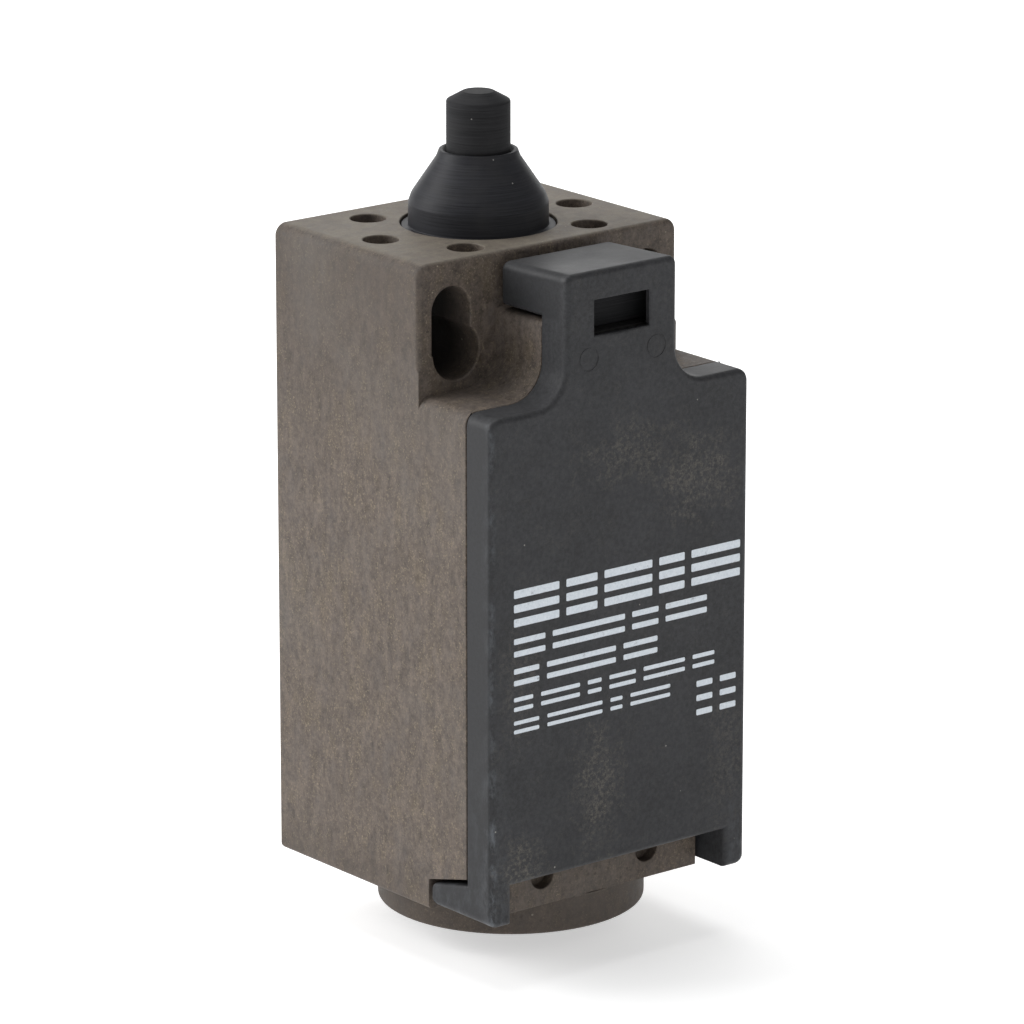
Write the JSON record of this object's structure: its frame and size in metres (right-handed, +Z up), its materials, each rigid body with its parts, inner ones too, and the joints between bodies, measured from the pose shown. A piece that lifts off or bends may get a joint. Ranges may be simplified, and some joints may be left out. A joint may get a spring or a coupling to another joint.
{
  "type": "limit switch",
  "caption": "Narrow moulded plunger limit switch with a hinged front cover, keyhole mounting holes and a threaded cable entry.",
  "frame": {"origin": "centre of the lower face of the cable entry collar, the lowest point of the part, midway between its sides and between its front and back", "axes": "+Z up along the plunger, +Y out of the mounting back, -Y out of the hinged cover, +X to the right seen from the front"},
  "size_m": [0.03, 0.0318, 0.0755],
  "materials": {
    "case_plastic": "matt, glass-filled",
    "cover_plastic": "satin",
    "black_plastic": "satin, turned",
    "rubber": "matt",
    "spring_steel": "bright drawn wire",
    "block_plastic": "matt",
    "carrier_plastic": "satin",
    "brass": "stamped",
    "contact_silver": "satin",
    "zinc_plate": "zinc plated"
  },
  "bodies": {
    "case": {"housing": "case_plastic", "plunger_guide": "black_plastic", "guide_o_ring": "rubber", "guide_retaining_ring": "spring_steel", "plunger_seal": "rubber", "return_spring": "spring_steel", "carrier_spring": "spring_steel", "block_back_shell": "block_plastic", "block_front_shell": "block_plastic", "nc_rail_left": "brass", "nc_rail_right": "brass", "no_rail_left": "brass", "no_rail_right": "brass", "fixed_contact_tips": "contact_silver", "clamp_washers": "zinc_plate", "terminal_screws": "zinc_plate", "block_screws": "zinc_plate"},
    "front_cover": {"cover": "cover_plastic", "cover_gasket": "rubber"},
    "plunger_body": {"plunger": "black_plastic"},
    "carrier_body": {"contact_carrier": "carrier_plastic", "nc_bridge": "brass", "no_bridge": "brass", "nc_bridge_tips": "contact_silver", "no_bridge_tips": "contact_silver", "nc_contact_spring": "spring_steel", "no_contact_spring": "spring_steel", "drive_spring": "spring_steel"}
  },
  "joints": [
    {"name": "plunger_slide", "type": "slide", "parent": "case", "child": "plunger_body", "axis": [0, 0, -1], "range_m": [0, 0.005], "stiffness_N_per_m": 1200, "springref_m": -0.004, "deforming": ["return_spring", "drive_spring"]},
    {"name": "carrier_slide", "type": "slide", "parent": "case", "child": "carrier_body", "axis": [0, 0, -1], "range_m": [0, 0.002], "deforming": ["carrier_spring"]},
    {"name": "cover_hinge", "type": "hinge", "parent": "case", "child": "front_cover", "pos_m": [0, -0.0084, 0.00495], "axis": [1, 0, 0], "range_deg": [0, 90]}
  ],
  "couplings": [
    {"joint": "carrier_slide", "follows": "plunger_slide", "ratio": 0.4}
  ]
}
